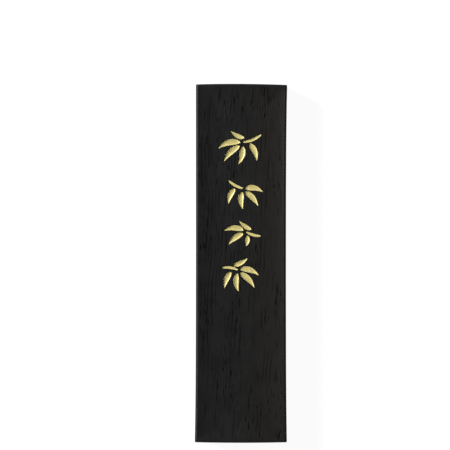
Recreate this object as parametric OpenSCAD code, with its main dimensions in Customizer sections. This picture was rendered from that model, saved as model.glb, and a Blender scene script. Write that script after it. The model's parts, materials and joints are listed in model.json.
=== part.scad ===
// Ink stick: a pressed block of lamp soot and glue, with four leaf sprays sunk into
// its front face and gilded. It lies on its back: +Z out of the front face, +Y towards
// the top end, and the grinding end at -Y. Millimetres.

/* [Block] */
// Length, from the grinding end to the top end
stick_length = 127; // [110:1:165]
// Width across the waist, half way along
waist_width = 31.8; // [28:0.2:42]
// Thickness, from the back to the rim of the front face
stick_thickness = 13; // [10:0.5:18]
// Radius of the softened edges round the front and the back
edge_radius = 0.6; // [0.3:0.1:1.2]
// Radius of the four upright corners
corner_radius = 0.4; // [0.3:0.1:1.5]

/* [Drying shape] */
// How far the front face has sunk inside its rim
face_sink = 0.4; // [0.1:0.05:0.6]
// How far the top left corner flares out past the waist
flare_top_left = 0.02; // [0:0.01:0.8]
// How far the top right corner flares out past the waist
flare_top_right = 0.48; // [0:0.01:0.8]
// How far the lower left corner flares out past the waist
flare_low_left = 0.43; // [0:0.01:0.8]
// How far the lower right corner flares out past the waist
flare_low_right = 0.35; // [0:0.01:0.8]
// Distance from an end over which its flares fall to about a third
flare_reach = 19; // [8:1:30]
// How far the top end bows out past its corners
top_bow = 0.28; // [0:0.02:0.6]
// Place of the top end's crest, measured to the right of the centre line
top_crest = -2.5; // [-6:0.5:6]
// How far the grinding end bows out past its corners
low_bow = 0.18; // [0:0.02:0.6]

/* [Gilt sprays] */
// Depth of the sunk strokes below the front face
stroke_depth = 0.6; // [0.4:0.05:1]
// Thickness of the gilding on the floor of each stroke
gilt_thickness = 0.25; // [0.1:0.05:0.35]
// Size of the sprays, as a share of their usual size
spray_size = 1; // [0.8:0.05:1]

/* [Hidden] */
ink_black = "#26241f";
gilt_yellow = "#d8c878";

half_length = stick_length / 2;
half_waist = waist_width / 2;

// Each stroke is [name, base, tip, bend, width]. Base and tip are measured from the
// spray's own centre, and bend is how far the stroke bows to the left of its chord.
top_strokes = [
    ["twig", [7.5, 4.6], [1.0, 1.9], 0.55, 1.0],
    ["left_leaf", [0.1, 1.8], [-7.7, -0.4], -1.0, 2.2],
    ["lower_left_leaf", [-0.1, 0.6], [-5.6, -4.9], -0.6, 2.1],
    ["middle_leaf", [1.0, 0.4], [-0.6, -5.9], 0.6, 2.1],
    ["right_leaf", [3.4, 1.4], [5.9, -4.6], 0.7, 2.0],
    ["upper_leaf", [1.5, 3.4], [-3.2, 5.8], 0.45, 1.6],
];
upper_strokes = [
    ["twig", [-6.0, 4.8], [-1.0, 2.1], -0.4, 1.0],
    ["right_leaf", [-0.1, 2.0], [6.1, 0.8], 0.8, 2.1],
    ["lower_right_leaf", [-0.1, 0.8], [4.4, -4.2], 0.6, 2.0],
    ["middle_leaf", [-1.1, 0.7], [-0.9, -5.2], -0.6, 2.0],
    ["left_leaf", [-3.7, 1.9], [-6.0, -3.4], -0.6, 1.9],
];
lower_strokes = [
    ["twig", [6.4, -0.9], [1.3, 0.5], 0.35, 1.0],
    ["left_leaf", [0.3, 1.1], [-6.4, 0.9], -0.9, 2.0],
    ["lower_left_leaf", [0.2, -0.1], [-4.9, -4.0], -0.5, 2.0],
    ["middle_leaf", [1.6, -0.8], [1.2, -4.6], 0.4, 1.7],
    ["upper_leaf", [3.1, 1.4], [-1.2, 4.4], 0.35, 1.6],
];
low_strokes = [
    ["twig", [-6.4, 2.4], [-1.0, 1.7], 0.45, 1.0],
    ["right_leaf", [-0.1, 1.9], [6.4, -0.3], 0.9, 2.1],
    ["lower_right_leaf", [-0.1, 0.6], [4.9, -4.6], 0.6, 2.1],
    ["middle_leaf", [-1.1, 0.4], [-0.7, -5.9], -0.6, 2.0],
    ["left_leaf", [-3.3, 0.9], [-5.6, -4.7], -0.5, 1.9],
    ["upper_leaf", [-2.4, 3.3], [2.4, 5.8], -0.45, 1.7],
];

// Each spray is [name, centre, strokes]. The centre's x is a share of the half waist, and
// its y is a share of the half length.
sprays = [
    ["top_spray", [-0.025, 0.645], top_strokes],
    ["upper_spray", [0.1, 0.385], upper_strokes],
    ["lower_spray", [0.03, 0.167], lower_strokes],
    ["low_spray", [-0.013, -0.063], low_strokes],
];

// A leaf is widest nearer its base when leaf_belly is smaller, and fuller towards its
// two ends when leaf_taper is smaller. A twig's ends are rounder when twig_taper is smaller.
leaf_belly = 0.68;
leaf_taper = 0.85;
twig_taper = 0.35;

// Steps along half an end, round a corner, along a flank, over a softened edge and along a stroke
end_steps = 5;
corner_steps = 4;
flank_steps = 20;
edge_steps = 5;
stroke_steps = 16;

// The sunk face, as [distance in from the rim, share of face_sink reached there]
sunk_face = [[1, 0.2], [3, 0.45], [6, 0.75], [10, 0.95]];

// Half the width on one side of the centre line, at a distance y along the stick
function half_width(y, top_flare, low_flare) =
    half_waist
    + top_flare * exp((y - half_length) / flare_reach)
    + low_flare * exp((-y - half_length) / flare_reach);

// The two ends, as y at a distance x across the stick
function top_end(x) = half_length - top_bow * pow((x - top_crest) / half_waist, 2);
function low_end(x) = -half_length + low_bow * pow(x / half_waist, 2);

// One long side of the outline, drawn in by inset, from the middle of the grinding end
// to the middle of the top end: side is 1 for the right and -1 for the left.
function outline_side(side, inset) =
    let (
        top_flare = side > 0 ? flare_top_right : flare_top_left,
        low_flare = side > 0 ? flare_low_right : flare_low_left,
        top_y = top_end(side * half_waist) - inset - corner_radius,
        low_y = low_end(side * half_waist) + inset + corner_radius,
        top_x = half_width(top_y, top_flare, low_flare) - inset - corner_radius,
        low_x = half_width(low_y, top_flare, low_flare) - inset - corner_radius
    )
    concat(
        [for (i = [0 : end_steps - 1])
            let (x = side * low_x * i / end_steps)
            [x, low_end(x) + inset]],
        [for (i = [0 : corner_steps])
            let (a = 90 * i / corner_steps)
            [side * (low_x + corner_radius * sin(a)), low_y - corner_radius * cos(a)]],
        [for (i = [1 : flank_steps - 1])
            let (y = low_y + (top_y - low_y) * i / flank_steps)
            [side * (half_width(y, top_flare, low_flare) - inset), y]],
        [for (i = [0 : corner_steps])
            let (a = 90 * i / corner_steps)
            [side * (top_x + corner_radius * cos(a)), top_y + corner_radius * sin(a)]],
        [for (i = [1 : end_steps])
            let (x = side * top_x * (1 - i / end_steps))
            [x, top_end(x) - inset]]
    );

// The whole outline: up the right side, then down the left side
function outline(inset) =
    let (left = outline_side(-1, inset))
    concat(
        outline_side(1, inset),
        [for (i = [len(left) - 2 : -1 : 1]) left[i]]
    );

// The rings that the block is lofted through, from the back to the front face,
// as [inset, height]
function block_rings() = concat(
    [for (i = [0 : edge_steps])
        let (a = 90 * i / edge_steps)
        [edge_radius * (1 - sin(a)), edge_radius * (1 - cos(a))]],
    [for (i = [0 : edge_steps])
        let (a = 90 * i / edge_steps)
        [edge_radius * (1 - cos(a)), stick_thickness - edge_radius * (1 - sin(a))]],
    [for (step = sunk_face) [edge_radius + step[0], stick_thickness - face_sink * step[1]]]
);

// A closed solid through rings of the same number of points. The first point lies at the
// middle of the grinding end, so each face at an end is a ladder of four-sided panels.
module loft(rings) {
    count = len(rings[0]);
    last = (len(rings) - 1) * count;
    half = count / 2;
    walls = [for (r = [0 : len(rings) - 2]) for (i = [0 : count - 1])
        let (a = r * count, j = (i + 1) % count)
        [a + i, a + count + i, a + count + j, a + j]];
    back = concat([[0, 1, count - 1]],
        [for (i = [1 : half - 2]) [i, i + 1, count - i - 1, count - i]],
        [[half - 1, half, half + 1]]);
    front = [for (panel = back) [for (i = [len(panel) - 1 : -1 : 0]) panel[i] + last]];
    polyhedron(points = [for (ring = rings) each ring], faces = concat(walls, back, front));
}

// A point of a stroke's centre line, at a share t of the way from its base to its tip
function spine(base, tip, bend, t) =
    let (
        chord = tip - base,
        left = [-chord.y, chord.x] / norm(chord),
        middle = (base + tip) / 2 + 2 * bend * left
    )
    pow(1 - t, 2) * base + 2 * t * (1 - t) * middle + pow(t, 2) * tip;

// Half a stroke's width there. A leaf swells near its base and tapers to a point, and a
// twig keeps its width and has two round ends.
function half_stroke(name, width, t) =
    name == "twig"
    ? width / 2 * pow(sin(180 * t), twig_taper)
    : width / 2 * pow(sin(180 * pow(t, leaf_belly)), leaf_taper);

// One edge of a stroke, from near its base to near its tip: side is 1 for its left edge
function stroke_edge(stroke, side) =
    let (base = stroke[1], tip = stroke[2], bend = stroke[3], step = 1e-3)
    [for (i = [1 : stroke_steps - 1])
        let (
            t = (1 - cos(180 * i / stroke_steps)) / 2,
            along = spine(base, tip, bend, t + step) - spine(base, tip, bend, t - step),
            left = [-along.y, along.x] / norm(along)
        )
        spine(base, tip, bend, t) + side * half_stroke(stroke[0], stroke[4], t) * left];

module stroke_outline(stroke) {
    right = stroke_edge(stroke, -1);
    left = stroke_edge(stroke, 1);
    polygon(concat(
        [stroke[1]],
        right,
        [stroke[2]],
        [for (i = [len(left) - 1 : -1 : 0]) left[i]]
    ));
}

// Places a stroke of a spray with its foot on the floor of the sunk strokes
module stroke_solid(spray, stroke, height) {
    floor_z = stick_thickness - face_sink - stroke_depth;
    translate([spray[1].x * half_waist, spray[1].y * half_length, floor_z])
        linear_extrude(height)
            scale(spray_size)
                stroke_outline(stroke);
}

module ink_body() {
    color(ink_black)
        difference() {
            loft([for (ring = block_rings())
                [for (point = outline(ring[0])) [point.x, point.y, ring[1]]]]);
            for (spray = sprays)
                for (stroke = spray[2])
                    stroke_solid(spray, stroke, stroke_depth + 1);
        }
}

module gilding(spray, stroke) {
    color(gilt_yellow) stroke_solid(spray, stroke, gilt_thickness);
}

ink_body();
for (spray = sprays)
    for (stroke = spray[2])
        gilding(spray, stroke);
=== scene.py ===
import json
import math

import bpy
import numpy as np
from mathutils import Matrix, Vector, noise
from mathutils.geometry import delaunay_2d_cdt

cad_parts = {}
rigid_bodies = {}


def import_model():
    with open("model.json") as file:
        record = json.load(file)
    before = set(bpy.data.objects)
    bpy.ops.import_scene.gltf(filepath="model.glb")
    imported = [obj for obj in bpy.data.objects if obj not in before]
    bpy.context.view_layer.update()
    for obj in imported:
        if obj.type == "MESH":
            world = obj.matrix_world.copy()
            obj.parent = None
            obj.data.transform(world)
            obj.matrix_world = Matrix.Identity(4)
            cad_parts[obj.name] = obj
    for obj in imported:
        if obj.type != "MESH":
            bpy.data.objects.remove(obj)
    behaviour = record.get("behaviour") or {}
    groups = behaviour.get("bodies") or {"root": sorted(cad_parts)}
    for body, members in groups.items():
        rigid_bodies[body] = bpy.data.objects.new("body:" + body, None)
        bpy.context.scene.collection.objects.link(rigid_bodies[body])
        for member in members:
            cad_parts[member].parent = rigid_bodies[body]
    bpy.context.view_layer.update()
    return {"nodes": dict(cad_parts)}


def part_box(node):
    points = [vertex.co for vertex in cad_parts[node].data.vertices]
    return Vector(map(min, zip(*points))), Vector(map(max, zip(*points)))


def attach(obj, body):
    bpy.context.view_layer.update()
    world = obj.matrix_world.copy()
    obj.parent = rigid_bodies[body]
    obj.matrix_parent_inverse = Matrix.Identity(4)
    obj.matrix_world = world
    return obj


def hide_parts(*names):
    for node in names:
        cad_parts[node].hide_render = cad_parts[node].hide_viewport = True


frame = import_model()
print("frame loaded:", len(frame["nodes"]), "nodes")

mm = 0.001  # sizes below are in millimetres, and meshes are made in metres
tiny = 0.01  # two heights, places or directions this close are the same
white = (1, 1, 1, 1)


def cadPoints(node):
    mesh = frame["nodes"][node].data
    points = np.empty(len(mesh.vertices) * 3)
    mesh.vertices.foreach_get("co", points)
    return (points.reshape(-1, 3) / mm).round(3)


def cadRing(node, height):
    # a node's outline at one height, anticlockwise from its left side
    points = cadPoints(node)
    ring = np.unique(points[abs(points[:, 2] - height) < tiny][:, :2], axis=0)
    return ring[np.argsort(np.arctan2(ring[:, 1], ring[:, 0]))]


def cadStroke(node):
    # a stroke's two long edges, each from one pointed end to the other
    points = cadPoints(node)
    floorZ = points[:, 2].min()
    follow = {}
    for face in frame["nodes"][node].data.polygons:
        corners = [tuple(points[i]) for i in face.vertices]
        low = [corner[2] == floorZ for corner in corners]
        if sum(low) == 2:  # a wall's triangle that stands on the floor
            for i in range(3):
                if low[i] and low[(i + 1) % 3]:
                    follow[corners[i][:2]] = corners[(i + 1) % 3][:2]
    loop = [next(iter(follow))]
    while follow[loop[-1]] != loop[0]:
        loop.append(follow[loop[-1]])
    loop = np.array(loop)
    half = len(loop) // 2
    reach = [np.hypot(*(loop[i] - loop[i + half])) for i in range(half)]
    loop = np.roll(loop, -int(np.argmax(reach)), axis=0)
    return loop[:half + 1], np.vstack([loop[half:], loop[:1]])[::-1]


def smoothPath(points, pieces):
    # a Catmull-Rom curve through the points, with so many pieces in each gap
    padded = np.vstack([2 * points[0] - points[1], points, 2 * points[-1] - points[-2]])
    path = []
    for i, count in enumerate(pieces):
        a, b, c, d = padded[i:i + 4]
        for t in np.arange(count) / count:
            path.append(0.5 * (2 * b + (c - a) * t + (2 * a - 5 * b + 4 * c - d) * t ** 2
                               + (3 * b - a - 3 * c + d) * t ** 3))
    return np.array(path + [points[-1]])


def smoothRing(ring, spacing):
    # the same for a closed outline, with its points at most that far apart
    closed = np.vstack([ring, ring[:1]])
    gaps = np.hypot(*np.diff(closed, axis=0).T)
    return smoothPath(closed, np.ceil(gaps / spacing).astype(int))[:-1]


def ripple(points, size, seed):
    # smooth noise from -1 to 1, with swells of about that size along each axis
    if points.shape[1] == 2:
        points = np.column_stack([points, np.zeros(len(points))])
    return np.array([noise.noise(Vector(p)) for p in points / np.array(size) + seed])


def fade(value, start, end):
    # from 0 at the start to 1 at the end, easing at both
    share = np.clip((value - start) / (end - start), 0, 1)
    return share * share * (3 - 2 * share)


def unitNormals(loop):
    # across a closed loop at each of its points, to the right of the way it runs
    along = np.roll(loop, -1, axis=0) - np.roll(loop, 1, axis=0)
    return np.column_stack([along[:, 1], -along[:, 0]]) / np.linalg.norm(along, axis=1)[:, None]


def fillSocket(tree, socket, value):
    if isinstance(value, bpy.types.NodeSocket):
        tree.links.new(value, socket)
    else:
        socket.default_value = value


def addNode(tree, kind, inputs=None, **settings):
    node = tree.nodes.new(kind)
    for name, value in settings.items():
        setattr(node, name, value)
    for name, value in (inputs or {}).items():
        fillSocket(tree, node.inputs[name], value)
    return node


def maths(tree, operation, a, b=0.0):
    return addNode(tree, "ShaderNodeMath", {0: a, 1: b}, operation=operation).outputs[0]


def rescale(tree, value, low, high, newLow, newHigh):
    node = addNode(tree, "ShaderNodeMapRange", {
        "Value": value, "From Min": low, "From Max": high, "To Min": newLow, "To Max": newHigh})
    return node.outputs["Result"]


def blendColour(tree, amount, first, second):
    # a Mix node keeps its two colours in sockets 6 and 7, and puts out their blend at 2
    first, second = ((*colour, 1) if isinstance(colour, tuple) else colour for colour in (first, second))
    node = addNode(tree, "ShaderNodeMix", {"Factor": amount, 6: first, 7: second}, data_type="RGBA")
    return node.outputs[2]


def blendNumber(tree, amount, first, second):
    # its factor is in socket 0, its two numbers in 2 and 3, and it puts out their blend at 0
    return addNode(tree, "ShaderNodeMix", {0: amount, 2: first, 3: second}).outputs[0]


def noiseAt(tree, place, scale, detail, roughness=0.5):
    return addNode(tree, "ShaderNodeTexNoise", {
        "Vector": place, "Scale": scale, "Detail": detail, "Roughness": roughness}).outputs["Fac"]


def addRelief(tree, shader, height, depth):
    bump = addNode(tree, "ShaderNodeBump", {"Height": height, "Distance": depth * mm, "Strength": 1.0})
    tree.links.new(bump.outputs["Normal"], shader.inputs["Normal"])


def newGroup(name, inputs, outputs):
    tree = bpy.data.node_groups.new(name, "ShaderNodeTree")
    for label, kind, value in inputs:
        socket = tree.interface.new_socket(name=label, in_out="INPUT", socket_type=kind)
        if value is not None:
            socket.default_value = value
    for label, kind in outputs:
        tree.interface.new_socket(name=label, in_out="OUTPUT", socket_type=kind)
    return tree, tree.nodes.new("NodeGroupInput").outputs, tree.nodes.new("NodeGroupOutput").inputs


def placeGroup(tree, group, inputs):
    return addNode(tree, "ShaderNodeGroup", inputs, node_tree=group).outputs


def newMaterial(name):
    material = bpy.data.materials.new(name)
    material.use_nodes = True
    return material, material.node_tree, material.node_tree.nodes["Principled BSDF"]


streakLook = {
    "detail": 3.0,
    "roughness": 0.6,
    "middle": 0.5,  # of the noise, where a line's edge lies
    "softest": 0.3,  # how far either side of it an edge of no sharpness runs
}


# Fine lines that run one way: wood fibres pressed into the ink, or hairs of a gilder's brush
def makeStreaks():
    tree, given, out = newGroup("Streaks", [
        ("Place", "NodeSocketVector", None),
        ("Across", "NodeSocketFloat", 0.3),
        ("Along", "NodeSocketFloat", 6.0),
        ("Sharpness", "NodeSocketFloat", 0.5),
    ], [("Lines", "NodeSocketFloat")])
    size = addNode(tree, "ShaderNodeCombineXYZ", {
        "X": given["Across"], "Y": given["Along"], "Z": given["Across"]}).outputs[0]
    place = addNode(tree, "ShaderNodeVectorMath", {0: given["Place"], 1: size},
                    operation="DIVIDE").outputs[0]
    fine = noiseAt(tree, place, 1.0, streakLook["detail"], streakLook["roughness"])
    softness = maths(tree, "MULTIPLY", maths(tree, "SUBTRACT", 1.0, given["Sharpness"]),
                     streakLook["softest"])
    start = maths(tree, "SUBTRACT", streakLook["middle"], softness)
    end = maths(tree, "ADD", streakLook["middle"], softness)
    tree.links.new(rescale(tree, fine, start, end, 0.0, 1.0), out["Lines"])
    return tree


# Grains of soot or of metal powder, each a dome about a cell across
def makeSpecks():
    tree, given, out = newGroup("Specks", [
        ("Place", "NodeSocketVector", None),
        ("Size", "NodeSocketFloat", 0.15),
        ("Crowding", "NodeSocketFloat", 0.5),
    ], [("Mask", "NodeSocketFloat"), ("Height", "NodeSocketFloat")])
    halfCell = 0.5
    scale = maths(tree, "DIVIDE", 1.0, given["Size"])
    cells = addNode(tree, "ShaderNodeTexVoronoi", {"Vector": given["Place"], "Scale": scale})
    draw = addNode(tree, "ShaderNodeSeparateColor", {"Color": cells.outputs["Color"]}).outputs[0]
    chosen = maths(tree, "LESS_THAN", draw, given["Crowding"])
    dome = rescale(tree, cells.outputs["Distance"], 0.0, halfCell, 1.0, 0.0)
    tree.links.new(maths(tree, "MULTIPLY", dome, chosen), out["Mask"])
    tree.links.new(dome, out["Height"])
    return tree


dustLook = {
    "patchScale": 0.12,
    "patchDetail": 2.0,
    "patchRange": (0.4, 0.7),  # of the noise, over which a patch grows to its full cover
    "patchCover": 0.6,
    "moteScale": 5.0,
    "moteDetail": 3.0,
    "moteRoughness": 0.7,
    "moteRange": (0.5, 0.75),
}


# Pale dust, thicker in patches and in hollows
def makeDust():
    tree, given, out = newGroup("Dust", [
        ("Place", "NodeSocketVector", None),
        ("Hollow", "NodeSocketFloat", 0.0),
        ("Amount", "NodeSocketFloat", 0.1),
    ], [("Cover", "NodeSocketFloat")])
    patches = noiseAt(tree, given["Place"], dustLook["patchScale"], dustLook["patchDetail"])
    motes = noiseAt(tree, given["Place"], dustLook["moteScale"], dustLook["moteDetail"],
                    dustLook["moteRoughness"])
    patches = rescale(tree, patches, *dustLook["patchRange"], 0.0, dustLook["patchCover"])
    motes = rescale(tree, motes, *dustLook["moteRange"], 0.0, 1.0)
    cover = maths(tree, "MULTIPLY", maths(tree, "ADD", patches, given["Hollow"]), motes)
    tree.links.new(maths(tree, "MULTIPLY", cover, given["Amount"]), out["Cover"])
    return tree


streaks, specks, dust = makeStreaks(), makeSpecks(), makeDust()
print("shared effects made")


def placeInMillimetres(tree):
    spot = addNode(tree, "ShaderNodeTexCoord").outputs["Object"]
    return addNode(tree, "ShaderNodeVectorMath", {0: spot, "Scale": 1 / mm},
                   operation="SCALE").outputs[0]


def attribute(tree, name, output):
    return addNode(tree, "ShaderNodeAttribute", attribute_name=name).outputs[output]


inkLook = {
    "deep": (0.0045, 0.0044, 0.0043),
    "light": (0.0128, 0.0127, 0.0125),
    "fibre": (0.42, 6.0),  # width and length of a pressed fibre
    "fibreSharpness": 0.35,
    "fibreTone": 0.45,  # share of the change from deep to light that fibres make
    "cloudTone": 0.55,  # and the share that clouds make
    "cloudScale": 0.16,
    "cloudDetail": 4.0,
    "cloudRoughness": 0.6,
    "cloudRange": (0.35, 0.65),  # of the noise, over which a cloud grows to its full tone
    "paintedLitSide": (0.0125, 0.0092, 0.0072),  # painted light: the right of the face is painted lighter and warmer, standing in for the brighter right side that the light gives it
    "litSideFrom": -2.0,  # how far right of the middle the painted light starts
    "litSideFull": 14.0,
    "litSideRange": (0.3, 0.6),  # of the clouds, over which the painted light grows
    "leastLitSide": 0.5,  # share of it which is there everywhere
    # painted shade: the near black that the dents of the pressed grain are painted
    "pressed": (0.0012, 0.0012, 0.0012),
    "skin": (0.062, 0.060, 0.058),  # the sides and the back, which nobody polished; this pale colour is also painted light, making up for the light that the sides lack
    "skinOffFibres": 0.3,  # share of the skin that shows between its fibres
    "skinOffClouds": 0.8,  # and outside its clouds
    "dust": (0.30, 0.29, 0.27),
    "dustAmount": 0.05,
    "roughness": 0.42,
    "fibreRoughness": 0.06,  # how much rougher the pressed fibres are
    "skinRoughness": 0.52,
    "pressedRoughness": 0.28,  # the mould's raised grain leaves glossy lines
    "worn": 0.44,  # roughness of the edges, where hands and cloth have rubbed them
    "grain": 0.35,  # width of a grain of soot
    "grainRelief": 0.35,  # height of a grain beside a fibre's
    "relief": 0.008,
    "rubbedRelief": 0.1,  # share of that relief which is left on a worn edge
}


def makeInk():
    material, tree, shader = newMaterial("sootInk")
    place = placeInMillimetres(tree)
    fibres = placeGroup(tree, streaks, {
        "Place": place, "Across": inkLook["fibre"][0], "Along": inkLook["fibre"][1],
        "Sharpness": inkLook["fibreSharpness"]})["Lines"]
    grains = placeGroup(tree, specks, {"Place": place, "Size": inkLook["grain"]})["Height"]
    worn = attribute(tree, "worn", "Fac")
    pressed = attribute(tree, "pressed", "Fac")
    skin = attribute(tree, "skin", "Fac")
    cover = placeGroup(tree, dust, {
        "Place": place, "Hollow": pressed, "Amount": inkLook["dustAmount"]})["Cover"]

    clouds = noiseAt(tree, place, inkLook["cloudScale"], inkLook["cloudDetail"], inkLook["cloudRoughness"])
    tone = maths(tree, "ADD", maths(tree, "MULTIPLY", fibres, inkLook["fibreTone"]),
                 rescale(tree, clouds, *inkLook["cloudRange"], 0.0, inkLook["cloudTone"]))
    colour = blendColour(tree, tone, inkLook["deep"], inkLook["light"])
    # painted light: the face is painted lighter and warmer towards its right
    right = addNode(tree, "ShaderNodeSeparateXYZ", {0: place}).outputs["X"]
    litSideShare = maths(tree, "MULTIPLY",
                   rescale(tree, right, inkLook["litSideFrom"], inkLook["litSideFull"], 0.0, 1.0),
                   rescale(tree, clouds, *inkLook["litSideRange"], inkLook["leastLitSide"], 1.0))
    colour = blendColour(tree, litSideShare, colour, inkLook["paintedLitSide"])
    patchy = maths(tree, "MULTIPLY",
                   rescale(tree, fibres, 0.0, 1.0, inkLook["skinOffFibres"], 1.0),
                   rescale(tree, clouds, *inkLook["cloudRange"], inkLook["skinOffClouds"], 1.0))
    # the matte skin of the sides and back, painted paler also as light for the unlit sides
    colour = blendColour(tree, maths(tree, "MULTIPLY", skin, patchy), colour, inkLook["skin"])
    # painted shade in the pores and ring lines of the pressed grain
    colour = blendColour(tree, pressed, colour, inkLook["pressed"])
    colour = blendColour(tree, cover, colour, inkLook["dust"])
    tree.links.new(colour, shader.inputs["Base Color"])

    rough = rescale(tree, fibres, 0.0, 1.0, inkLook["roughness"],
                    inkLook["roughness"] + inkLook["fibreRoughness"])
    rough = blendNumber(tree, skin, rough, inkLook["skinRoughness"])
    rough = blendNumber(tree, worn, rough, inkLook["worn"])
    rough = blendNumber(tree, pressed, rough, inkLook["pressedRoughness"])
    tree.links.new(rough, shader.inputs["Roughness"])

    height = maths(tree, "ADD", fibres, maths(tree, "MULTIPLY", grains, inkLook["grainRelief"]))
    unrubbed = rescale(tree, worn, 0.0, 1.0, 1.0, inkLook["rubbedRelief"])
    addRelief(tree, shader, maths(tree, "MULTIPLY", height, unrubbed), inkLook["relief"])
    return material


giltLook = {
    "pale": (0.95, 0.85, 0.36),
    "deep": (0.72, 0.56, 0.16),  # painted shade: the darker gold that the deep middle of a stroke is painted, in patches
    "giltPatchScale": 0.9,
    "giltPatchDetail": 3.0,
    "deepShadeRange": (0.35, 0.62),  # of the noise, over which the painted shade grows in a patch
    "leastDeepShade": 0.2,  # share of that growth which is there everywhere
    "deepShadeDepths": (0.4, 1.0),  # shares of the full depth between which the painted shade grows
    "deepestShade": 0.7,  # share of the deep colour where a stroke is deepest
    "thin": (0.36, 0.27, 0.09),  # where the ink shows through a dry brush stroke
    "dryHairs": 0.35,  # hair marks fainter than this may be dry
    "dryRange": (0.5, 0.7),  # of the patches' noise, over which dryness grows
    "driest": 0.4,
    # painted glints: the paler colour that specks of metal powder are painted
    "powder": (1.0, 0.95, 0.62),
    "powderCrowding": 0.35,
    "glintTone": 0.25,
    "powderRelief": 0.4,  # height of a grain of powder beside a hair mark's
    "grain": 0.09,  # width of a grain of powder
    "dust": (0.45, 0.42, 0.34),
    "dustAmount": 0.10,
    "metallic": 0.12,
    "roughness": 0.42,
    "hairRoughness": 0.14,
    "hair": (0.14, 3.5),  # width and length of a brush hair's mark
    "hairSharpness": 0.3,
    "relief": 0.015,
}


def makeGilt():
    material, tree, shader = newMaterial("goldPaint")
    place = placeInMillimetres(tree)
    hairs = placeGroup(tree, streaks, {
        "Place": attribute(tree, "brushed", "Vector"), "Across": giltLook["hair"][0],
        "Along": giltLook["hair"][1], "Sharpness": giltLook["hairSharpness"]})["Lines"]
    powder = placeGroup(tree, specks, {
        "Place": place, "Size": giltLook["grain"], "Crowding": giltLook["powderCrowding"]})
    sunk = attribute(tree, "sunk", "Fac")
    cover = placeGroup(tree, dust, {
        "Place": place, "Hollow": sunk, "Amount": giltLook["dustAmount"]})["Cover"]

    giltPatches = noiseAt(tree, place, giltLook["giltPatchScale"], giltLook["giltPatchDetail"])
    # painted shade: darker gold where a stroke is deep, in patches
    deepShade = maths(tree, "MULTIPLY",
                   rescale(tree, sunk, *giltLook["deepShadeDepths"], 0.0, giltLook["deepestShade"]),
                   rescale(tree, giltPatches, *giltLook["deepShadeRange"], giltLook["leastDeepShade"], 1.0))
    colour = blendColour(tree, deepShade, giltLook["pale"], giltLook["deep"])
    dry = maths(tree, "MULTIPLY", rescale(tree, hairs, 0.0, giltLook["dryHairs"], 1.0, 0.0),
                rescale(tree, giltPatches, *giltLook["dryRange"], 0.0, giltLook["driest"]))
    colour = blendColour(tree, dry, colour, giltLook["thin"])
    # painted glints on the specks of powder
    paintedGlints = maths(tree, "MULTIPLY", powder["Mask"], giltLook["glintTone"])
    colour = blendColour(tree, paintedGlints, colour, giltLook["powder"])
    colour = blendColour(tree, cover, colour, giltLook["dust"])
    tree.links.new(colour, shader.inputs["Base Color"])

    shader.inputs["Metallic"].default_value = giltLook["metallic"]
    rough = rescale(tree, hairs, 0.0, 1.0, giltLook["roughness"],
                    giltLook["roughness"] + giltLook["hairRoughness"])
    tree.links.new(rough, shader.inputs["Roughness"])
    height = maths(tree, "ADD", hairs, maths(tree, "MULTIPLY", powder["Height"], giltLook["powderRelief"]))
    addRelief(tree, shader, height, giltLook["relief"])
    return material


tableLook = {
    "colour": (0.14, 0.14, 0.14, 1),
    "roughness": 0.9,
    "glow": 0.95,  # keeps the table white where the stick's shadow falls
    "bouncedGlow": 0.15,  # the part of that glow which lights the stick
}


def makeTable():
    material, tree, shader = newMaterial("paleTable")
    shader.inputs["Base Color"].default_value = tableLook["colour"]
    shader.inputs["Roughness"].default_value = tableLook["roughness"]
    shader.inputs["Emission Color"].default_value = white
    seen = addNode(tree, "ShaderNodeLightPath").outputs["Is Camera Ray"]
    glow = rescale(tree, seen, 0.0, 1.0, tableLook["bouncedGlow"], tableLook["glow"])
    tree.links.new(glow, shader.inputs["Emission Strength"])
    return material


ink, gilt, table = makeInk(), makeGilt(), makeTable()
print("materials made")


stick = {
    "edge": 0.65,  # width of the softened edges
    "edgePower": 1.15,  # 1 is a flat bevel, and 2 is a round edge
    "edgeHold": 0.06,  # width of the strip inside the edge that keeps it crisp
    "edgeSteps": 9,
    "sideSteps": 20,
    "spacing": 0.4,  # between points round the outline
    "faceGrid": (0.17, 0.6),  # between points of the front face, across and along
    "backGrid": (0.5, 1.2),
    "gridGap": 0.2,  # between those grids and the edge
    "cornerReach": 1.5,  # length of flank, and of end, that each corner takes up
    "faceSink": 0.4,  # how far the front has sunk inside its rim
    "sinkReach": 6.0,  # how far in from the rim most of the sinking is done
    "curl": 0.07,  # depth of the dip that the right edge left as it curled up
    "curlReach": 2.2,  # how far in from the edge that dip is deepest
    "curlStart": -60.0,  # how far up the stick it starts
    "curlFull": 25.0,  # and how far up it is full
    "curlEnd": 4.0,  # how far from an end it starts to fade out
    "backSink": 0.08,
    "backSinkReach": 5.0,
    "sideSink": 0.07,  # how far the sides have drawn in halfway up
    "planing": 0.04,  # depth of the long strokes that the sides were planed with
    "planingSize": (60.0, 60.0, 2.6),
    "chatter": 0.012,  # depth of the short dips that the plane left
    "chatterSize": (9.0, 9.0, 1.0),
}
low, high = (np.array(corner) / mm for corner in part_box("ink_body"))
thickness = high[2] - low[2]
bodyPoints = cadPoints("ink_body")
rimHeight = bodyPoints[bodyPoints[:, 0] > high[0] - tiny][:, 2].max()  # where the front edge starts
outline = smoothRing(cadRing("ink_body", rimHeight), stick["spacing"])
halfSize = np.array([abs(outline[abs(outline[:, 1]).argmin(), 0]), high[1]])  # at the waist


def insetRing(inset):
    return outline * (1 - inset / halfSize)


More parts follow.
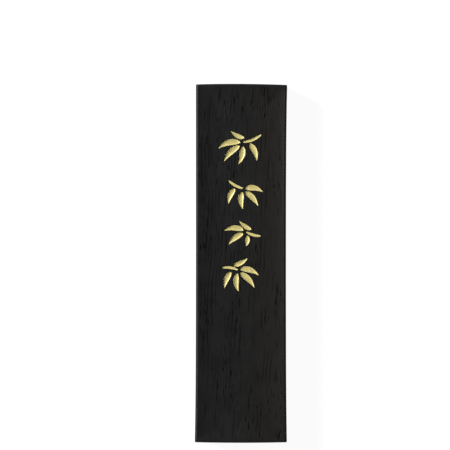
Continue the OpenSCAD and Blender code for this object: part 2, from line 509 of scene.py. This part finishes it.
def edgePlace(spots, axis, side):
    # where the outline's left or right flank (axis 0) or one of its ends (axis 1) lies
    other = 1 - axis
    clear = halfSize[other] - stick["cornerReach"]
    edge = outline[(outline[:, axis] * side > 0) & (abs(outline[:, other]) < clear)]
    edge = edge[np.argsort(edge[:, other])]
    return np.interp(spots[:, other], edge[:, other], edge[:, axis])


def rimDistance(spots):
    # how far in each spot lies from the outline, with rounded mitres in the corners
    gaps = [side * (edgePlace(spots, axis, side) - spots[:, axis])
            for axis in (0, 1) for side in (-1, 1)]
    soft = 0.5  # size of the mitres' rounding
    least, most = -1, 60  # limits that keep the exponentials in range
    return -soft * np.log(sum(np.exp(-np.clip(gap, least, most) / soft) for gap in gaps))


# The mould is wood, and its grain is pressed into the faces
grain = {
    "heart": 13.5,  # how far right of the middle the rings arch
    "archWidth": 2.5,
    "slant": 0.05,  # how far the rings drift sideways in each millimetre along the stick
    "wander": 1.6,  # how far they stray from that line
    "wanderSize": (6.0, 30.0, 1.0),
    "ringGap": 1.3,
    "ringWidth": 0.16,  # share of the gap
    "ringDepth": 0.013,
    "ringShade": 0.6,  # how dark a ring's line is beside a pore
    "breakSize": (2.2, 11.0, 1.0),  # lengths of ring, and the breaks between them
    "breakRange": (-0.05, 0.45),  # of their noise, over which a ring comes up
    "poreSize": (0.42, 3.2, 1.0),
    "poreRange": (0.28, 0.55),
    "poreDepth": 0.022,
    "patchSize": (7.0, 16.0, 1.0),  # patches with pores, and patches without
    "patchRange": (-0.35, 0.25),
    "swellSize": (4.5, 30.0, 1.0),
    "swellDepth": 0.03,
    "seedSteps": (0, 9, 21, 33, 45),  # keeps the noises of wander, breaks, pores, patches, swell apart
    "frontSeed": 2.7,
    "backSeed": 14.2,
    "frontFade": 1.2,  # how far in from the edge the front's grain reaches its full depth
    "shadeFade": 0.8,  # and its full darkness
    "backFade": 2.0,
    "backDepth": 0.8,  # of the back's grain, as a share of the front's
    "backRange": (-0.02, 0.08),  # how far the back's grain may bulge and sink
}


def pressedGrain(spots, seed):
    # lift of each spot in millimetres, and how much of a pressed line or pore it holds
    wanderSeed, breakSeed, poreSeed, patchSeed, swellSeed = (seed + step for step in grain["seedSteps"])
    wander = grain["wander"] * ripple(spots, grain["wanderSize"], wanderSeed)
    across = spots[:, 0] - grain["heart"] + wander
    ring = (np.hypot(across, grain["archWidth"]) + grain["slant"] * spots[:, 1]) / grain["ringGap"]
    line = np.exp(-((ring % 1 - 0.5) / grain["ringWidth"]) ** 2)
    line *= fade(ripple(spots, grain["breakSize"], breakSeed), *grain["breakRange"])
    pores = fade(ripple(spots, grain["poreSize"], poreSeed), *grain["poreRange"])
    pores *= fade(ripple(spots, grain["patchSize"], patchSeed), *grain["patchRange"])
    swell = ripple(spots, grain["swellSize"], swellSeed)
    lift = grain["swellDepth"] * swell - grain["ringDepth"] * line - grain["poreDepth"] * pores
    return lift, np.clip(grain["ringShade"] * line + pores, 0, 1)


def faceHeight(spots):
    # height of the front face without its strokes, and how much pressed grain each spot holds
    gap = np.clip(rimDistance(spots) - stick["edge"], 0, halfSize[0])
    sunk = stick["faceSink"] * np.tanh(gap / stick["sinkReach"])
    fromRight = np.clip(edgePlace(spots, 0, 1) - spots[:, 0] - stick["edge"], 0, None) / stick["curlReach"]
    fromEnd = halfSize[1] - abs(spots[:, 1])
    curled = stick["curl"] * fade(spots[:, 1], stick["curlStart"], stick["curlFull"])
    sunk += curled * fromRight * np.exp(1 - fromRight) * fade(fromEnd, stick["edge"], stick["curlEnd"])
    lift, pressed = pressedGrain(spots, grain["frontSeed"])
    height = thickness - sunk + lift * fade(gap, 0.0, grain["frontFade"])
    return height, pressed * fade(gap, 0.0, grain["shadeFade"])


sunkStroke = {
    "pieces": 3,  # of each gap between the frame's points
    # places of the points across a stroke, from one long edge to the other
    "across": (-1.0, -0.93, -0.82, -0.65, -0.4, 0.0, 0.4, 0.65, 0.82, 0.93, 1.0),
    "splitWidth": 0.3,  # a stroke this narrow has points only along its middle
    "fullDepth": 0.6,
    "fullWidth": 1.5,  # a stroke this wide or wider is sunk to the full depth
    "leastShare": 0.12,  # share of that width below which a stroke gets no shallower
    "shallowing": 0.7,  # higher makes narrow strokes shallower
    "roundness": 3.0,  # higher is a flatter floor and steeper walls
    "lip": 0.1,  # width of the softened strip round a stroke
    "lipDrop": 0.03,  # how far it slopes down to the rim
    "clearance": 0.08,  # between the lip and the face's grid
}
strokeNames = [node for node in sorted(frame["nodes"]) if node != "ink_body"]


def strokeRails(node):
    first, second = cadStroke(node)
    pieces = [sunkStroke["pieces"]] * (len(first) - 1)
    return smoothPath(first, pieces), smoothPath(second, pieces)


def strokeDepth(width, across):
    share = np.clip(width / sunkStroke["fullWidth"], sunkStroke["leastShare"], 1) ** sunkStroke["shallowing"]
    return sunkStroke["fullDepth"] * share * (1 - abs(across) ** sunkStroke["roundness"])


def insideLoop(spots, loop):
    inside = np.zeros(len(spots), bool)
    for (ax, ay), (bx, by) in zip(loop, np.roll(loop, -1, axis=0)):
        if ay != by:
            crosses = (spots[:, 1] < ay) != (spots[:, 1] < by)
            inside ^= crosses & (spots[:, 0] < ax + (spots[:, 1] - ay) / (by - ay) * (bx - ax))
    return inside


def nearLoop(spots, loop, reach):
    near = np.zeros(len(spots), bool)
    box = np.all((spots > loop.min(0) - reach) & (spots < loop.max(0) + reach), axis=1)
    gaps = np.linalg.norm(spots[box][:, None] - loop[None], axis=2).min(axis=1)
    near[box] = (gaps < reach) | insideLoop(spots[box], loop)
    return near


def strokeSpots(node):
    # spots over one sunk stroke, how deep each lies, and the loops of its rim and its lip
    left, right = strokeRails(node)
    rim = np.vstack([left, right[-2:0:-1]])
    outward = unitNormals(rim)
    if insideLoop(rim[:1] + outward[:1] * tiny, rim)[0]:
        outward = -outward
    lip = rim + outward * sunkStroke["lip"]
    inner, depths = [], []
    for a, b in zip(left[1:-1], right[1:-1]):
        width = np.hypot(*(a - b))
        for across in sunkStroke["across"][1:-1]:
            if across == 0 or width > sunkStroke["splitWidth"]:
                inner.append((a + b) / 2 + (b - a) / 2 * across)
                depths.append(strokeDepth(width, across))
    depths = [sunkStroke["lipDrop"]] * len(rim) + [0.0] * len(lip) + depths
    return np.vstack([rim, lip, inner]), np.array(depths), rim, lip


wear = {
    "waver": 0.015,  # unevenness of the softened edges
    "waverSize": (6.0, 6.0, 6.0),
    "fineWaver": 0.3,  # as a share of the broad unevenness
    "fineWaverSize": (1.5, 1.5, 1.5),
    "waverMiddle": 0.6,  # how far in the unevenness lies on the whole, as a share of it
    "nickInset": 0.2,  # how far inside the outline a nick's centre lies
    "edge": 0.9,  # how rubbed the middle of a softened edge is
    "edgeRange": (0.1, 0.9),  # of its softness, over which the rubbing grows
    "skinRange": (0.97, 1.0),  # of how far a point faces outward, over which the skin starts
    "frontRub": 0.55,  # how rubbed the front is beside its edge
    "frontRubReach": 0.8,
    "backRub": 0.6,
    "backRubReach": 1.2,
}
nicks = [  # x, y, z as shares of the half size and the thickness, radius, depth
    (-1.0, -0.93, 1.0, 0.9, 0.16),
    (1.0, 0.72, 1.0, 0.7, 0.12),
    (0.55, -1.0, 1.0, 0.8, 0.14),
    (-0.35, 1.0, 1.0, 0.6, 0.10),
    (1.0, -1.0, 1.0, 0.9, 0.20),
    (-1.0, 0.31, 0.0, 1.0, 0.20),
    (1.0, -0.48, 0.0, 0.8, 0.15),
    (-0.7, -1.0, 0.0, 0.9, 0.18),
]
wallSeeds = {"waver": 7.7, "fineWaver": 3.3, "planing": 5.1, "chatter": 8.3}


def wallRings():
    # (inset, height, outward, upward) of each ring from the back's rim up to the front's
    edge, steps, power = stick["edge"], stick["edgeSteps"], 2 / stick["edgePower"]
    turns = [math.radians(90 * i / steps) for i in range(steps + 1)]
    back = [(edge + stick["edgeHold"], 0.0, 0.0, -1.0)]
    back += [(edge * (1 - math.sin(a) ** power), edge * (1 - math.cos(a) ** power),
              math.sin(a), -math.cos(a)) for a in turns]
    climb = [i / stick["sideSteps"] for i in range(1, stick["sideSteps"])]
    side = [(stick["sideSink"] * math.sin(math.pi * t), edge + (thickness - 2 * edge) * t, 1.0, 0.0)
            for t in climb]
    front = [(inset, thickness - height, outward, -upward)
             for inset, height, outward, upward in back[::-1]]
    return back + side + front


def wearEdges(points, outward, softness):
    # an uneven edge, and small nicks knocked out of it
    waver = ripple(points, wear["waverSize"], wallSeeds["waver"])
    waver += wear["fineWaver"] * ripple(points, wear["fineWaverSize"], wallSeeds["fineWaver"])
    points = points - outward * (wear["waver"] * softness * (wear["waverMiddle"] + waver))[:, None]
    for x, y, z, radius, depth in nicks:
        centre = np.array([x * halfSize[0], y * halfSize[1], z * thickness])
        centre[:2] *= 1 - wear["nickInset"] / halfSize
        gap = np.linalg.norm(points - centre, axis=1) / radius
        points = points - outward * (depth * np.clip(1 - gap ** 2, 0, 1) * softness)[:, None]
    return points


def planeSides(points, outward):
    # shallow strokes along the sides, which a plane cut when the stick was trimmed
    upright = np.abs(outward[:, 2]) < tiny
    planed = (stick["planing"] * ripple(points, stick["planingSize"], wallSeeds["planing"])
              + stick["chatter"] * ripple(points, stick["chatterSize"], wallSeeds["chatter"]))
    return points - outward * (upright * np.clip(planed, 0, None))[:, None]


def buildWalls():
    # the softened edges and the sides, ring by ring from the back's rim up to the front's
    rings, count, across = wallRings(), len(outline), unitNormals(outline)
    points, outward, softness = [], [], []
    for inset, height, out, up in rings:
        points.append(np.column_stack([insetRing(inset), np.full(count, height)]))
        outward.append(np.column_stack([across * out, np.full(count, up)]))
        softness.append(np.full(count, abs(out * up) * 2))  # 1 in the middle of an edge
    points, outward, softness = np.vstack(points), np.vstack(outward), np.concatenate(softness)
    points = planeSides(wearEdges(points, outward, softness), outward)
    faces = [[r * count + i, r * count + (i + 1) % count,
              (r + 1) * count + (i + 1) % count, (r + 1) * count + i]
             for r in range(len(rings) - 1) for i in range(count)]
    return points, faces, {
        "worn": wear["edge"] * fade(softness, *wear["edgeRange"]),
        "pressed": np.zeros(len(points)),
        "skin": fade(np.hypot(outward[:, 0], outward[:, 1]), *wear["skinRange"]),
    }


def gridSpots(spacing):
    # rows of spots over a face, each row half a step along from the last
    margin = 1  # the flared corners lie outside the waist
    xs = np.arange(-halfSize[0] - margin, halfSize[0] + margin, spacing[0])
    ys = np.arange(-halfSize[1], halfSize[1], spacing[1])
    gridX, gridY = np.meshgrid(xs, ys)
    gridX = gridX + spacing[0] / 2 * (np.arange(len(ys)) % 2)[:, None]
    spots = np.column_stack([gridX.ravel(), gridY.ravel()])
    return spots[rimDistance(spots) > stick["edge"] + stick["gridGap"]]


def fillFace(rim, spots, loops):
    # triangles over a rim and the spots inside it; loops are rows of spots joined by edges
    insideOnly, sameSpot = 1, 1e-6
    count = len(rim)
    edges = [(i, (i + 1) % count) for i in range(count)]
    for start, size in loops:
        edges += [(count + start + i, count + start + (i + 1) % size) for i in range(size)]
    points = [Vector(p) for p in np.vstack([rim, spots])]
    _, _, faces, source, _, _ = delaunay_2d_cdt(points, edges, [], insideOnly, sameSpot)
    return [[source[i][0] for i in face] for face in faces]


def buildFront(rim):
    # the front face with its sunk strokes; its triangles count the rim's points first
    spots = gridSpots(stick["faceGrid"])
    sunkSpots, depths, loops = [], [], []
    start = 0
    for node in strokeNames:
        own, ownDepths, strokeRim, lip = strokeSpots(node)
        spots = spots[~nearLoop(spots, lip, sunkStroke["clearance"])]
        loops += [(start, len(strokeRim)), (start + len(strokeRim), len(lip))]
        start += len(own)
        sunkSpots.append(own)
        depths.append(ownDepths)
    depths = np.concatenate(depths + [np.zeros(len(spots))])
    spots = np.vstack(sunkSpots + [spots])
    height, marks = faceHeight(spots)
    gap = rimDistance(spots) - stick["edge"]
    return np.column_stack([spots, height - depths]), fillFace(rim, spots, loops), {
        "worn": wear["frontRub"] * np.exp(-gap / wear["frontRubReach"]),
        "pressed": marks * (depths == 0),
        "skin": np.zeros(len(spots)),
    }


def buildBack(rim):
    # the back, seen from above, so its triangles are turned over later
    spots = gridSpots(stick["backGrid"])
    lift, marks = pressedGrain(spots * (-1, 1), grain["backSeed"])
    gap = rimDistance(spots) - stick["edge"]
    grown = fade(gap, 0.0, grain["backFade"])
    height = stick["backSink"] * fade(gap, 0.0, stick["backSinkReach"])
    height += np.clip(-lift, *grain["backRange"]) * grown * grain["backDepth"]
    return np.column_stack([spots, np.clip(height, 0.0, None)]), fillFace(rim, spots, []), {
        "worn": wear["backRub"] * np.exp(-gap / wear["backRubReach"]),
        "pressed": marks * grown,
        "skin": grown,
    }


def buildInkBody():
    # the back's rim is the walls' first ring of points, and the front's rim is their last
    count = len(outline)
    walls, faces, wallValues = buildWalls()
    front, frontFaces, frontValues = buildFront(walls[-count:, :2])
    back, backFaces, backValues = buildBack(walls[:count, :2])
    frontStart, backStart = len(walls) - count, len(walls) + len(front) - count
    faces += [[i + frontStart for i in face] for face in frontFaces]
    faces += [[i if i < count else i + backStart for i in face[::-1]] for face in backFaces]
    values = {label: np.concatenate([wallValues[label], frontValues[label], backValues[label]])
              for label in wallValues}
    return np.vstack([walls, front, back]), faces, values


def addPiece(name, points, faces, values, material, node):
    mesh = bpy.data.meshes.new(name)
    mesh.from_pydata((points * mm).tolist(), [], faces)
    for label, numbers in values.items():
        kind, field = ("FLOAT_VECTOR", "vector") if numbers.ndim == 2 else ("FLOAT", "value")
        mesh.attributes.new(label, kind, "POINT").data.foreach_set(field, numbers.ravel())
    mesh.polygons.foreach_set("use_smooth", [True] * len(mesh.polygons))
    mesh.materials.append(material)
    piece = bpy.data.objects.new(name, mesh)
    bpy.context.scene.collection.objects.link(piece)
    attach(piece, "root")
    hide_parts(node)


points, faces, values = buildInkBody()
addPiece("inkStick", points, faces, values, ink, "ink_body")
print("ink body:", len(points), "points,", sum(len(face) - 2 for face in faces), "triangles")


paint = {
    "columns": 17,
    "reach": 0.95,  # share of the stroke's half width that the paint covers
    "ragged": 0.035,  # how far that share wanders
    "raggedSize": (0.5, 1.0, 1.0),
    "raggedStep": 5.0,  # keeps the noises of the two edges apart
    "coat": 0.25,  # thickness over the deepest part of a stroke
    "film": 0.02,  # thickness at the paint's edge
    "ridge": 0.012,  # height of the ridges that the brush left
    "ridgeSize": (0.16, 2.2, 1.0),
    "root": 0.05,  # how far the coat's underside lies in the ink
    "firstSeed": 1.3,
    "seedStep": 3.7,
}


def paintFaces(rows):
    # the coat's top, its underside, and the wall that joins them round the border
    cols = paint["columns"]
    size = rows * cols
    grid = [[r * cols + c, r * cols + c + 1, (r + 1) * cols + c + 1, (r + 1) * cols + c]
            for r in range(rows - 1) for c in range(cols - 1)]
    border = ([(r * cols, (r + 1) * cols) for r in range(rows - 1)]
              + [((rows - 1) * cols + c, (rows - 1) * cols + c + 1) for c in range(cols - 1)]
              + [((r + 1) * cols + cols - 1, r * cols + cols - 1) for r in range(rows - 2, -1, -1)]
              + [(c + 1, c) for c in range(cols - 2, -1, -1)])
    return (grid + [[i + size for i in face][::-1] for face in grid]
            + [[a, b, b + size, a + size] for a, b in border])


def paintStroke(node, seed):
    left, right = (rail[1:-1] for rail in strokeRails(node))
    width = np.linalg.norm(left - right, axis=1)
    middle = (left + right) / 2
    travel = np.concatenate([[0], np.cumsum(np.linalg.norm(np.diff(middle, axis=0), axis=1))])
    cols, rows = paint["columns"], len(left)
    across = np.linspace(-1, 1, cols)
    ragged = [paint["reach"] + paint["ragged"] * ripple(
        np.column_stack([travel, np.full(rows, side * paint["raggedStep"])]),
        paint["raggedSize"], seed) for side in (-1, 1)]
    spots, shares = [], []
    for i in range(rows):
        share = across * np.where(across < 0, ragged[0][i], ragged[1][i])
        spots.append(middle[i] + (right[i] - left[i])[None] / 2 * share[:, None])
        shares.append(share)
    spots, shares = np.vstack(spots), np.concatenate(shares)
    widths = np.repeat(width, cols)
    depth = strokeDepth(widths, shares)
    brushed = np.column_stack([shares * widths / 2, np.repeat(travel, cols), np.full(len(spots), seed)])
    ridges = paint["ridge"] * ripple(brushed, paint["ridgeSize"], seed)
    sunk = depth / sunkStroke["fullDepth"]
    coat = paint["coat"] * sunk + paint["film"] + ridges * (1 - shares ** 2)
    ground = faceHeight(spots)[0] - depth
    top = np.column_stack([spots, ground + coat])
    under = np.column_stack([spots, ground - paint["root"]])
    faces = paintFaces(rows)
    if np.cross(spots[1] - spots[0], spots[cols] - spots[0]) < 0:
        faces = [face[::-1] for face in faces]
    return np.vstack([top, under]), faces, {"brushed": np.tile(brushed, (2, 1)), "sunk": np.tile(sunk, 2)}


for number, node in enumerate(strokeNames):
    points, faces, values = paintStroke(node, paint["seedStep"] * number + paint["firstSeed"])
    addPiece(node + "_paint", points, faces, values, gilt, node)
print("gold paint:", len(strokeNames), "strokes")


studio = {
    "tableSize": 4.0,  # the table, the key light and the camera's reach are in metres
    "keyFrom": (-1.56, 0.65, 1.30),
    "keySize": 0.6,
    "keyPower": 54.0,
    "sky": 0.02,
    "horizon": 0.38,  # how bright the paper walls round the table are
    "horizonTop": 0.30,  # sine of the height that they reach
    "backdrop": 1.0,  # how bright the camera sees them and the sky
    "lens": 200.0,
    "sensor": 36.0,
    "cameraReach": (0.01, 20.0),  # the nearest and the farthest that it sees
    "frameWidth": 159.05,  # what the picture spans at the front face
    "aim": (-5.64, 13.55),  # the picture's middle, from the stick's middle
}

bpy.ops.mesh.primitive_plane_add(size=studio["tableSize"])
floor = bpy.context.object
floor.name = "table"
floor.data.materials.append(table)


def addSoftLight(name, place, size, power):
    light = bpy.data.lights.new(name, "AREA")
    light.size = size
    light.energy = power
    lamp = bpy.data.objects.new(name, light)
    lamp.location = place
    lamp.rotation_euler = (-Vector(place)).to_track_quat("-Z", "Y").to_euler()
    bpy.context.scene.collection.objects.link(lamp)


def makeSky():
    # white where the camera looks past the table, and dim overhead for the light on the stick
    world = bpy.data.worlds.new("sky")
    world.use_nodes = True
    tree = world.node_tree
    direction = addNode(tree, "ShaderNodeTexCoord").outputs["Generated"]
    height = addNode(tree, "ShaderNodeSeparateXYZ", {0: direction}).outputs["Z"]
    glow = rescale(tree, height, 0.0, studio["horizonTop"], studio["horizon"], studio["sky"])
    seen = addNode(tree, "ShaderNodeLightPath").outputs["Is Camera Ray"]
    background = tree.nodes["Background"]
    background.inputs["Color"].default_value = white
    tree.links.new(blendNumber(tree, seen, glow, studio["backdrop"]), background.inputs["Strength"])
    return world


addSoftLight("keyLight", studio["keyFrom"], studio["keySize"], studio["keyPower"])
bpy.context.scene.world = makeSky()
bpy.context.scene.view_settings.view_transform = "Standard"

camera = bpy.data.cameras.new("camera")
camera.lens = studio["lens"]
camera.sensor_width = studio["sensor"]
camera.clip_start, camera.clip_end = studio["cameraReach"]
cameraObject = bpy.data.objects.new("camera", camera)
distance = studio["frameWidth"] * studio["lens"] / studio["sensor"]
cameraObject.location = (studio["aim"][0] * mm, studio["aim"][1] * mm, (distance + thickness) * mm)
bpy.context.scene.collection.objects.link(cameraObject)
bpy.context.scene.camera = cameraObject
print("studio ready")
